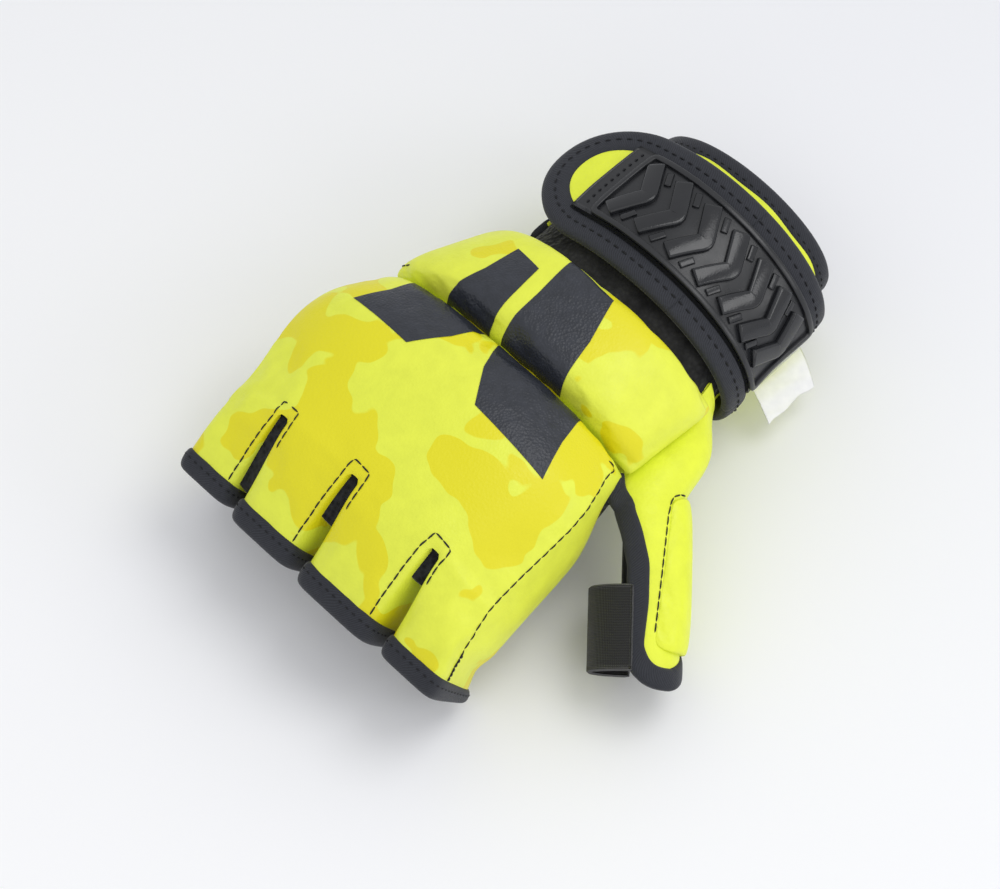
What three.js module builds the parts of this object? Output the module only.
// A right-hand open-palm MMA glove, closed round an empty hand space and lying palm down.
// Units are millimetres and degrees. +Z is up (the back of the hand), +Y points to the fingertips,
// +X to the little finger. The origin is the centre of the flat underside of the wrist strap.
import * as THREE from "three";
import { mergeVertices } from "three/addons/utils/BufferGeometryUtils.js";

// ---------------------------------------------------------------- driving dimensions
const GAP = 0.35; // clearance between two layers that touch
const LINING = 1.2;
const LEATHER = 1.2;
const TURN_STEP = 12; // degrees round the hand between two lines of facets
const LENGTH_STEP = 13; // along the glove between two such lines, one of them at LENGTH_LINE
const LENGTH_LINE = -2;

const CUFF_REAR = -48; // forearm edge of the wrist cuff
const CUFF_BINDING = 5; // width of the tape round that edge
const CUFF_FRONT = 19.5; // where the cuff ends and the hand part starts
const STRAP_REAR = -37;
const STRAP_FRONT = 12.5;
const BINDING_WIDTH = 8; // tape along the strap's edges
const HINGE_ANGLE = 180; // the strap leaves its sewn part here, on the thumb side
const TIP_ANGLE = 66; // from here on the strap's tip runs straight
const TIP_LENGTH = 30;

const BACK_REAR = 20.5; // the pad on the back of the hand
const GROOVE = 58; // the flex groove between that pad and the knuckle pad
const FINGER_ROOT = 122; // where the knuckle pad splits into four finger lobes
const PALM_EDGE = 40; // the open palm starts past this line
const SIDE_LIFT = 3.2; // the side walls stand this far off the hand

const FOLD_DEG = 28; // the groove's flex, as far as the cut-back side walls allow
const FINGER_FLEX_DEG = 35;

// The hand inside the glove: at each station a rounded outline with its centre, its half width,
// its rise above and drop below that centre, and the power that squares its corners.
const HAND = [
  { y: -50, x: -2, z: 29.5, wide: 32, rise: 19.5, drop: 22.5, power: 2 },
  { y: -30, x: -2, z: 30, wide: 35.5, rise: 24, drop: 23.5, power: 2 },
  { y: -8, x: -1.5, z: 30.5, wide: 36, rise: 24.5, drop: 24, power: 2 },
  { y: 18, x: -3, z: 32, wide: 37, rise: 21.5, drop: 20.5, power: 2.2 },
  { y: 57, x: 4.5, z: 36, wide: 43.5, rise: 17, drop: 15, power: 2.5 },
  { y: 90, x: 7, z: 36, wide: 50, rise: 17, drop: 14, power: 2.7 },
  { y: 122, x: 5, z: 33.5, wide: 51, rise: 17, drop: 13, power: 2.7 },
];

// The lines that bound the finger sleeves, thumb side first: x at the root and at the end.
const FORKS = [
  { root: -53, end: -56 },
  { root: -28, end: -29 },
  { root: 7, end: 7 },
  { root: 38.5, end: 37.5 },
  { root: 62.5, end: 63.5 },
];
// The sleeves between them: the centre's height at the root, the reach of the end forward and
// its drop.
const FINGERS = [
  { name: "index", z: 36, reach: 19, drop: 18 },
  { name: "middle", z: 39.5, reach: 20.5, drop: 20 },
  { name: "ring", z: 38.5, reach: 19.5, drop: 19.5 },
  { name: "little", z: 34.5, reach: 17.5, drop: 17.5 },
];
const FINGER_RISE = 10.5; // the hole's size above and below that centre
const FINGER_FALL = 12.5;
const FORK_GAP = 1.4; // between two neighbouring sleeves
const FINGER_STEP = 15; // degrees round a sleeve between two lines of facets
const FINGER_SQUARE = 0.55; // below 1 squares a sleeve's corners
const FINGER_TILT = 28; // lean of the plane that ends each finger sleeve
const FINGER_FOAM = 8;
const FINGER_BINDING_FROM = 0.78; // share of the sleeve's length where the end tape starts

// The thumb sleeve: its line, the hand-side direction it faces away from, and its size.
const THUMB_ROOT = new THREE.Vector3(-47, 50, 36);
const THUMB_ALONG = new THREE.Vector3(-0.64, 0.695, -0.33).normalize();
const THUMB_OUT = new THREE.Vector3(-0.735, -0.68, 0);
const THUMB_RADIUS = 10;
const THUMB_FROM = 9;
const THUMB_LENGTH = 68;
const THUMB_WRAP = 104; // the shield reaches this far round each side of the thumb

// ---------------------------------------------------------------- materials
const paint = (color, roughness) => new THREE.MeshStandardMaterial({ color, roughness, metalness: 0 });
const CAMO_LEATHER = paint(0xdff02a, 0.5);
const PLAIN_LEATHER = paint(0xe2f53a, 0.45);
const FOAM = paint(0x3c3c40, 0.9);
const FABRIC = paint(0x17181c, 0.9);
const TAPE = paint(0x1b1e26, 0.8);
const RUBBER = paint(0x16171a, 0.45);
const ELASTIC = paint(0x202024, 0.85);
const SATIN = paint(0xf2f2ee, 0.6);

// ---------------------------------------------------------------- small helpers
const rad = THREE.MathUtils.degToRad;
const lerp = THREE.MathUtils.lerp;
const signedPower = (value, power) => Math.sign(value) * Math.abs(value) ** power;

// Values from low to high with the multiples of step, all shifted by offset, between them.
function lines(low, high, step, offset = 0) {
  const between = [];
  for (let k = Math.floor((low - offset) / step); k * step + offset < high - 0.15 * step; k++) {
    if (k * step + offset > low + 0.15 * step) between.push(k * step + offset);
  }
  return [low, ...between, high];
}
const lengthLines = (low, high) => lines(low, high, LENGTH_STEP, LENGTH_LINE);

// A smooth curve through one value of the stations.
function station(key, y) {
  const last = HAND.length - 1;
  const at = THREE.MathUtils.clamp(y, HAND[0].y, HAND[last].y);
  const k = Math.min(last - 1, HAND.findLastIndex((s) => s.y <= at));
  const slope = (i) => {
    const a = HAND[Math.max(0, i - 1)];
    const b = HAND[Math.min(last, i + 1)];
    return (b[key] - a[key]) / (b.y - a.y);
  };
  const length = HAND[k + 1].y - HAND[k].y;
  const t = (at - HAND[k].y) / length;
  return (
    HAND[k][key] * (1 + 2 * t) * (1 - t) ** 2 +
    HAND[k + 1][key] * t * t * (3 - 2 * t) +
    slope(k) * length * t * (1 - t) ** 2 -
    slope(k + 1) * length * t * t * (1 - t)
  );
}

// A point on the hand at an angle (0 little-finger side, 90 top, 180 thumb side), lifted off it.
function onHand(angle, y, lift) {
  const power = 2 / station("power", y);
  const half = Math.sin(rad(angle)) > 0 ? station("rise", y) : station("drop", y);
  return new THREE.Vector3(
    station("x", y) + (station("wide", y) + lift) * signedPower(Math.cos(rad(angle)), power),
    y,
    station("z", y) + (half + lift) * signedPower(Math.sin(rad(angle)), power),
  );
}

// A closed solid: the geometry's vertices moved by a map, its faces turned to point out.
function reshape(source, map) {
  const geometry = source.clone();
  const position = geometry.getAttribute("position");
  for (let i = 0; i < position.count; i++) {
    const p = map(position.getX(i), position.getY(i), position.getZ(i));
    position.setXYZ(i, p.x, p.y, p.z);
  }
  geometry.deleteAttribute("normal");
  geometry.deleteAttribute("uv");
  const merged = mergeVertices(geometry, 1e-3);
  if (signedVolume(merged) < 0) merged.index.array.reverse();
  merged.computeVertexNormals();
  return merged;
}

function signedVolume(geometry) {
  const position = geometry.getAttribute("position");
  const corner = [0, 1, 2].map(() => new THREE.Vector3());
  let sum = 0;
  for (let i = 0; i < geometry.index.count; i += 3) {
    corner.forEach((c, k) => c.fromBufferAttribute(position, geometry.index.getX(i + k)));
    sum += corner[0].dot(corner[1].clone().cross(corner[2]));
  }
  return sum / 6;
}

// A box bent over a surface: map(u, v, w) with u and v from the two lists and w 0 inside, 1 outside.
function bentBox(us, vs, map) {
  const box = new THREE.BoxGeometry(1, 1, 1, us.length - 1, vs.length - 1, 1);
  const pick = (values, x) => values[Math.round((x + 0.5) * (values.length - 1))];
  return reshape(box, (x, y, z) => map(pick(us, x), pick(vs, y), z + 0.5));
}

// A ring turned from a closed profile and then fitted: map(angle, v, w).
function bentRing(segments, vs, map) {
  const inside = vs.map((v) => new THREE.Vector2(1, v));
  const outside = vs.toReversed().map((v) => new THREE.Vector2(2, v));
  const lathe = new THREE.LatheGeometry([...inside, ...outside, inside[0]], segments);
  return reshape(lathe, (x, y, z) =>
    map(Math.round(THREE.MathUtils.radToDeg(Math.atan2(x, z))), y, Math.round(Math.hypot(x, z)) - 1),
  );
}

const glove = new THREE.Group();
function add(name, geometry, material) {
  const mesh = new THREE.Mesh(geometry, material);
  mesh.name = name;
  glove.add(mesh);
}

// A panel of the hand part or cuff. Its y limits may depend on the angle, its lifts on both.
const value = (v, ...at) => (typeof v === "function" ? v(...at) : v);
function handPanel(angles, ys, lifts, floor = -Infinity) {
  const shares = lengthLines(value(ys[0], 90), value(ys[1], 90));
  const [first, last] = [shares[0], shares.at(-1)];
  return bentBox(lines(angles[0], angles[1], TURN_STEP), shares, (angle, v, w) => {
    const y = lerp(value(ys[0], angle), value(ys[1], angle), (v - first) / (last - first));
    const p = onHand(angle, y, value(lifts[w], angle, y));
    p.z = Math.max(p.z, floor);
    return p;
  });
}

function handRing(ys, lifts) {
  const map = (angle, y, w) => onHand(angle, y, lifts[w]);
  return bentRing(360 / TURN_STEP, lengthLines(ys[0], ys[1]), map);
}

// A pad's thickness: full in the middle, rounded down to a thin edge on all four sides.
function crown(thick, edge, share) {
  const round = Math.max(0, 1 - Math.abs(share) ** edge) ** (1 / edge);
  return thick * round;
}
const between = (value_, low, high) => (2 * value_ - low - high) / (high - low);

// ---------------------------------------------------------------- wrist cuff
const CUFF_BAND_LIFT = LINING + GAP;
const CUFF_TOP = CUFF_BAND_LIFT + 2;
const cuffBody = [CUFF_REAR + CUFF_BINDING + GAP, CUFF_FRONT];
add("wrist_lining", handRing(cuffBody, [0, LINING]), FABRIC);
add("cuff_band", handRing(cuffBody, [CUFF_BAND_LIFT, CUFF_TOP]), PLAIN_LEATHER);
add("cuff_binding", handRing([CUFF_REAR, CUFF_REAR + CUFF_BINDING], [-0.6, CUFF_TOP + 0.8]), TAPE);
const LOOP_TOP = CUFF_TOP + GAP + 1.2;
add("loop_panel", handPanel([18, 172], [-29, CUFF_FRONT], [CUFF_TOP + GAP, LOOP_TOP]), FABRIC);

// ---------------------------------------------------------------- strap
// The strap's underside climbs from the cuff, where it is sewn, to the top of the loop panel.
const STRAP_LOW = CUFF_TOP + GAP;
const STRAP_HIGH = LOOP_TOP + GAP + 1.5;
const STRAP_THICK = 2.6;
const ANCHOR = [HINGE_ANGLE + 0.8, 360 + 14];
function strapLift(angle) {
  const climb = THREE.MathUtils.smoothstep(-angle, -(HINGE_ANGLE + 45), -HINGE_ANGLE);
  return lerp(STRAP_LOW, STRAP_HIGH, climb);
}
const inStrap = [STRAP_REAR + BINDING_WIDTH + GAP, STRAP_FRONT - BINDING_WIDTH - GAP];
const rearTape = [STRAP_REAR, STRAP_REAR + BINDING_WIDTH];
const frontTape = [STRAP_FRONT - BINDING_WIDTH, STRAP_FRONT];
const shellLifts = [strapLift, (angle) => strapLift(angle) + STRAP_THICK];
const tapeLifts = [strapLift, (angle) => strapLift(angle) + STRAP_THICK + 0.8];
// The sewn part is padded out under the wrist, down to the flat face that the glove rests on.
const ON_FLOOR = 0;
const REST_PADDING = 4;
const padded = (lifts) => [
  lifts[0],
  (angle) => lifts[1](angle) + REST_PADDING * Math.max(0, -Math.sin(rad(angle))) ** 4,
];
add("strap_anchor", handPanel(ANCHOR, inStrap, padded(shellLifts), ON_FLOOR), PLAIN_LEATHER);
add("strap_anchor_binding_rear", handPanel(ANCHOR, rearTape, padded(tapeLifts), ON_FLOOR), TAPE);
add("strap_anchor_binding_front", handPanel(ANCHOR, frontTape, padded(tapeLifts), ON_FLOOR), TAPE);

const wrapped = [TIP_ANGLE + 0.5, HINGE_ANGLE];
add("strap_band", handPanel(wrapped, inStrap, shellLifts), PLAIN_LEATHER);
add("strap_binding_rear", handPanel(wrapped, rearTape, tapeLifts), TAPE);
add("strap_binding_front", handPanel(wrapped, frontTape, tapeLifts), TAPE);
const patchLift = STRAP_HIGH + STRAP_THICK + GAP;
const patch = [TIP_ANGLE + 3, HINGE_ANGLE - 3];
const patchTop = patchLift + 2.2;
add("strap_patch", handPanel(patch, [inStrap[0] + 0.5, inStrap[1] - 0.5], [patchLift, patchTop]), RUBBER);

// The tip runs straight along the tangent of the band where it leaves the wrist.
const TIP_MIDDLE = (STRAP_REAR + STRAP_FRONT) / 2;
const TIP_DIRECTION = onHand(TIP_ANGLE - 1, TIP_MIDDLE, STRAP_HIGH)
  .sub(onHand(TIP_ANGLE, TIP_MIDDLE, STRAP_HIGH))
  .normalize();
const onTip = (along, y, lift) => onHand(TIP_ANGLE, y, lift).addScaledVector(TIP_DIRECTION, along);
const tipHalf = (STRAP_FRONT - STRAP_REAR) / 2;
// Half the tip's width at a distance along it: square at the root, round at the end.
function tipHalfWidth(along, margin) {
  const reach = TIP_LENGTH - margin;
  const straight = 9;
  const share = THREE.MathUtils.clamp((along - straight) / (reach - straight), 0, 1);
  return (tipHalf - margin) * Math.sqrt(1 - 0.94 * share ** 2.2);
}
function tipPanel(margin, lifts) {
  const alongs = [0, 9, 15, 20, 24, 27, 29, 31].map((a) => (a * (TIP_LENGTH - margin)) / 31);
  return bentBox(alongs, [-1, -0.5, 0, 0.5, 1], (along, share, w) =>
    onTip(along, TIP_MIDDLE + share * tipHalfWidth(along, margin), lifts[w]),
  );
}
// The tape round the tip: from the rear edge round the end to the front edge.
function tipTape(lifts) {
  const turns = [-1, -0.8, -0.65, -0.5, -0.37, -0.25, -0.12, 0, 0.12, 0.25, 0.37, 0.5, 0.65, 0.8, 1];
  return bentBox(turns, [0, 1], (turn, across, w) => {
    const margin = across === 0 ? 0 : BINDING_WIDTH;
    const bow = Math.cos((turn * Math.PI) / 2) ** 0.55;
    const along = (TIP_LENGTH - margin) * bow;
    const side = Math.sign(turn) * tipHalfWidth(along, margin) * Math.min(1, Math.abs(turn) / 0.12);
    return onTip(along, TIP_MIDDLE + side, lifts[w]);
  });
}
const tipTop = STRAP_HIGH + STRAP_THICK;
add("strap_tip", tipPanel(BINDING_WIDTH + GAP, [STRAP_HIGH, tipTop]), PLAIN_LEATHER);
add("strap_tip_binding", tipTape([STRAP_HIGH, tipTop + 0.8]), TAPE);
// The hook panel grips the loop panel under the strap, and a second one lies under the tip.
const hookLifts = [LOOP_TOP + GAP, STRAP_HIGH - GAP];
add("hook_panel", handPanel([TIP_ANGLE + 2, 112], [STRAP_REAR + 4, STRAP_FRONT - 4], hookLifts), FABRIC);
add("tip_hook_panel", tipPanel(4, hookLifts), FABRIC);

// ---------------------------------------------------------------- back of the hand
const PAD_ANGLES = [16, 164];
const foamLow = LINING + GAP;
const PAD_EDGE = 2.2; // foam thickness at a pad's edges
// A pad of lining, foam and cover over the hand between two y limits. Its foam is rounded down
// towards its sides and towards the ends of its crown, which may reach past the pad.
function pad(name, ys, cut, crownEnds, thick) {
  const limits = [(angle) => ys[0] + cut[0](angle), (angle) => ys[1] - cut[1](angle)];
  const top = (extra) => (angle, y) => {
    const across = crown(1, 3.2, between(angle, PAD_ANGLES[0] - 4, PAD_ANGLES[1] + 4));
    const lengthwise = crown(1, 6, between(y, ...crownEnds));
    return foamLow + PAD_EDGE + (value(thick, y) - PAD_EDGE) * across * lengthwise + extra;
  };
  add(name + "_lining", handPanel(PAD_ANGLES, limits, [0, LINING]), FABRIC);
  add(name + "_foam", handPanel(PAD_ANGLES, limits, [foamLow, top(0)]), FOAM);
  add(name + "_cover", handPanel(PAD_ANGLES, limits, [top(GAP), top(GAP + LEATHER)]), CAMO_LEATHER);
}

// How far below the flex line a side wall point is, so that its edge can be cut back.
const FLEX_Z = 50;
function cutBack(angle, y, degrees) {
  const below = Math.max(0, FLEX_Z - onHand(angle, y, 0).z);
  return below * Math.tan(rad(degrees));
}
const noCut = () => 0;
const grooveCut = (angle) => cutBack(angle, GROOVE, FOLD_DEG / 2 + 2);
const rootCut = (angle) => cutBack(angle, FINGER_ROOT, FINGER_FLEX_DEG + 2);
pad("back_pad", [BACK_REAR, GROOVE - 0.8], [noCut, grooveCut], [BACK_REAR - 3, GROOVE + 2], 13);
const wall = [SIDE_LIFT, SIDE_LIFT + 2];
const backEnd = (angle) => GROOVE - 1.5 - grooveCut(angle);
add("little_side_heel", handPanel([-62, 14], [BACK_REAR, backEnd], wall), PLAIN_LEATHER);
// The gusset bulges over the ball of the thumb.
const gussetBulge = (angle, y) =>
  SIDE_LIFT + 11 * THREE.MathUtils.smoothstep(y, 14, 44) * Math.max(0, 1 - ((angle - 190) / 27) ** 2);
const gussetLifts = [gussetBulge, (angle, y) => gussetBulge(angle, y) + 2];
const gussetEnd = (angle) => Math.min(backEnd(angle), 43);
add("thumb_gusset", handPanel([166, 212], [BACK_REAR, gussetEnd], gussetLifts), PLAIN_LEATHER);
add("palm_heel", handPanel([213, 297], [BACK_REAR, PALM_EDGE], [0.8, 3.2]), PLAIN_LEATHER);
const heelTape = [PALM_EDGE + GAP, PALM_EDGE + 4.5];
add("palm_heel_binding", handPanel([213, 297], heelTape, [0.2, 4]), TAPE);

// ---------------------------------------------------------------- knuckle pad
// The knuckle pad's foam is thickest over the knuckles and thins towards the finger roots.
const KNUCKLES = GROOVE + 24;
const knuckleThick = (y) =>
  y < KNUCKLES
    ? lerp(9.5, 13.5, THREE.MathUtils.smoothstep(y, GROOVE, KNUCKLES))
    : lerp(13.5, 9, THREE.MathUtils.smoothstep(y, KNUCKLES, FINGER_ROOT));
const knuckleCrown = [GROOVE - 2, FINGER_ROOT + 40];
pad("knuckle_pad", [GROOVE + 0.8, FINGER_ROOT], [grooveCut, rootCut], knuckleCrown, knuckleThick);
const wallStart = (angle) => GROOVE + 1.5 + grooveCut(angle);
const wallEnd = (angle) => FINGER_ROOT - 1 - rootCut(angle);
add("index_side_wall", handPanel([166, 215], [wallStart, wallEnd], wall), CAMO_LEATHER);
add("little_side_wall", handPanel([-35, 14], [wallStart, wallEnd], wall), CAMO_LEATHER);
const palmTape = [SIDE_LIFT - 0.6, SIDE_LIFT + 2.6];
add("index_palm_binding", handPanel([215.8, 222], [wallStart, wallEnd], palmTape), TAPE);
add("little_palm_binding", handPanel([-42, -35.8], [wallStart, wallEnd], palmTape), TAPE);

// The small gussets that close the forks between the fingers, under the pad's front edge.
FINGERS.slice(1).forEach((finger, k) => {
  const share = (FORKS[k + 1].root - station("x", FINGER_ROOT)) / station("wide", FINGER_ROOT);
  const cosine = signedPower(share, station("power", FINGER_ROOT) / 2);
  const angle = THREE.MathUtils.radToDeg(Math.acos(cosine));
  const ys = [FINGER_ROOT - 16, FINGER_ROOT - 4];
  const name = "fork_gusset_" + FINGERS[k].name + "_" + finger.name;
  add(name, handPanel([angle - 3.5, angle + 3.5], ys, [-3.4, -GAP]), FABRIC);
});

// ---------------------------------------------------------------- finger sleeves
const SLEEVE_SKIN = LINING + 2 * GAP + LEATHER;
const TAPE_PROUD = 0.5; // the end tape stands this far off the cover
// A point on the sleeve between two fork lines: share runs from 0 at its root to 1 at its end,
// lift is the distance off the finger, and extra is added to that on top.
function onFinger(k, angle, share, lift, extra = 0) {
  const finger = FINGERS[k];
  const left = lerp(FORKS[k].root, FORKS[k].end, share);
  const right = lerp(FORKS[k + 1].root, FORKS[k + 1].end, share);
  const wide = (right - left - FORK_GAP) / 2 - SLEEVE_SKIN - TAPE_PROUD;
  const lean = rad(FINGER_TILT * share);
  const across = (wide + lift) * signedPower(Math.cos(rad(angle)), FINGER_SQUARE);
  const high = angle > 0 && angle < 180 ? FINGER_RISE + extra : FINGER_FALL;
  const upward = (high + lift) * signedPower(Math.sin(rad(angle)), FINGER_SQUARE);
  return new THREE.Vector3(
    (left + right) / 2 + across,
    FINGER_ROOT + 1.2 + finger.reach * share + upward * Math.sin(lean),
    finger.z - finger.drop * share ** 1.15 + upward * Math.cos(lean),
  );
}
const sleeveShares = [0, 0.4, FINGER_BINDING_FROM];
const tapeShares = [FINGER_BINDING_FROM + 0.02, 1];
const coverLift = LINING + GAP;
FINGERS.forEach((finger, k) => {
  const name = finger.name + "_finger_";
  const ring = (shares, lifts, extras) =>
    bentRing(360 / FINGER_STEP, shares, (angle, share, w) => onFinger(k, angle, share, lifts[w], extras[w]));
  const covered = FINGER_FOAM + GAP;
  const foam = (angle, share, w) => onFinger(k, angle, share, coverLift, w ? FINGER_FOAM : 0);
  add(name + "sleeve", ring(sleeveShares, [0, LINING], [0, 0]), FABRIC);
  add(name + "foam", bentBox(lines(15, 165, FINGER_STEP), sleeveShares, foam), FOAM);
  const skin = [coverLift + GAP, SLEEVE_SKIN];
  add(name + "cover", ring(sleeveShares, skin, [covered, covered]), CAMO_LEATHER);
  const tape = [-0.3, SLEEVE_SKIN + TAPE_PROUD];
  add(name + "binding", ring(tapeShares, tape, [0, covered]), TAPE);
});

// ---------------------------------------------------------------- thumb
const thumbSide = THUMB_OUT.clone().addScaledVector(THUMB_ALONG, -THUMB_OUT.dot(THUMB_ALONG)).normalize();
const thumbUp = THUMB_ALONG.clone().cross(thumbSide).normalize();
// A point on the thumb: turn 0 faces away from the hand, +90 faces up.
function onThumb(turn, along, lift) {
  return THUMB_ROOT.clone()
    .addScaledVector(THUMB_ALONG, along)
    .addScaledVector(thumbSide, (THUMB_RADIUS + lift) * Math.cos(rad(turn)))
    .addScaledVector(thumbUp, (THUMB_RADIUS + lift) * Math.sin(rad(turn)));
}
const SHIELD_POWER = 3;
// How far along the thumb the shield's edge lies at a turn, and the turn of its side edge.
function shieldEnd(turn, margin) {
  const share = Math.min(1, Math.abs(turn) / (THUMB_WRAP - margin * 4));
  const straight = THUMB_LENGTH - 24;
  return straight + (24 - margin) * (1 - share ** SHIELD_POWER) ** (1 / SHIELD_POWER);
}
const thumbTurns = lines(-THUMB_WRAP, THUMB_WRAP, 13);
function shield(margin, lifts) {
  const turns = thumbTurns.map((t) => (t * (THUMB_WRAP - margin * 4)) / THUMB_WRAP);
  return bentBox(turns, [0, 0.35, 0.7, 1], (turn, share, w) =>
    onThumb(turn, lerp(THUMB_FROM, shieldEnd(turn, margin), share), lifts[w]),
  );
}
const THUMB_TAPE = 5;
add("thumb_lining", shield(THUMB_TAPE + GAP, [0, LINING]), FABRIC);
add("thumb_cover", shield(THUMB_TAPE + GAP, [foamLow, foamLow + LEATHER]), PLAIN_LEATHER);
// The tape follows the shield's edge: down one side, round the tip and up the other side.
const shieldTape = lines(-1, 1, 0.1);
add(
  "thumb_binding",
  bentBox(shieldTape, [0, 1], (t, across, w) => {
    const margin = across * THUMB_TAPE;
    const wrap = THUMB_WRAP - margin * 4;
    const side = Math.max(0, (Math.abs(t) - 0.55) / 0.45);
    const turnShare = Math.min(1, Math.abs(t) / 0.55);
    const swing = Math.sin((turnShare * Math.PI) / 2);
    const turn = Math.sign(t) * wrap * swing;
    const end = shieldEnd(turn, margin);
    const along = lerp(end, THUMB_FROM, side);
    return onThumb(turn, along, w ? foamLow + LEATHER + 0.8 : -0.4);
  }),
  TAPE,
);
const thumbPadLow = foamLow + LEATHER + GAP;
const PAD_TURNS = [-38, 44];
const PAD_ALONG = [THUMB_FROM, THUMB_LENGTH - 11];
function thumbPadLift(turn, along) {
  const across = crown(1, 2.6, between(turn, PAD_TURNS[0] - 3, PAD_TURNS[1] + 3));
  const lengthwise = crown(1, 5, between(along, PAD_ALONG[0] - 1.5, PAD_ALONG[1] + 1.5));
  return thumbPadLow + 0.8 + 2.8 * across * lengthwise;
}
const padTurns = lines(PAD_TURNS[0], PAD_TURNS[1], 12);
const padAlongs = lines(PAD_ALONG[0], PAD_ALONG[1], 8);
const thumbPad = (low, high) =>
  bentBox(padTurns, padAlongs, (turn, along, w) => onThumb(turn, along, (w ? high : low)(turn, along)));
const padTop = (extra) => (turn, along) => thumbPadLift(turn, along) + extra;
add("thumb_pad_foam", thumbPad(() => thumbPadLow, padTop(0)), FOAM);
add("thumb_pad_cover", thumbPad(padTop(GAP), padTop(GAP + LEATHER)), PLAIN_LEATHER);
const ELASTIC_SLACK = 5;
const elasticTurns = lines(THUMB_WRAP + 4, 360 - THUMB_WRAP - 4, 13);
add(
  "thumb_elastic",
  bentBox(elasticTurns, [37, 50, 63], (turn, along, w) =>
    onThumb(turn, along, ELASTIC_SLACK * Math.sin(rad(turn / 2)) ** 2 + 1.4 * w),
  ),
  ELASTIC,
);

// ---------------------------------------------------------------- care label
// A satin tab sewn under the strap on the thumb side, hanging outward and down.
const LABEL_LENGTH = 19;
const LABEL_YS = [-25, -16, -7];
const LABEL_TOP = new THREE.Vector3(-46, 0, 18);
add(
  "care_label",
  bentBox([0, 0.25, 0.5, 0.75, 1], LABEL_YS, (share, y, w) =>
    new THREE.Vector3(
      LABEL_TOP.x - LABEL_LENGTH * share,
      y,
      LABEL_TOP.z - 8 * share ** 1.6 + 0.5 * w,
    ),
  ),
  SATIN,
);

export default glove;
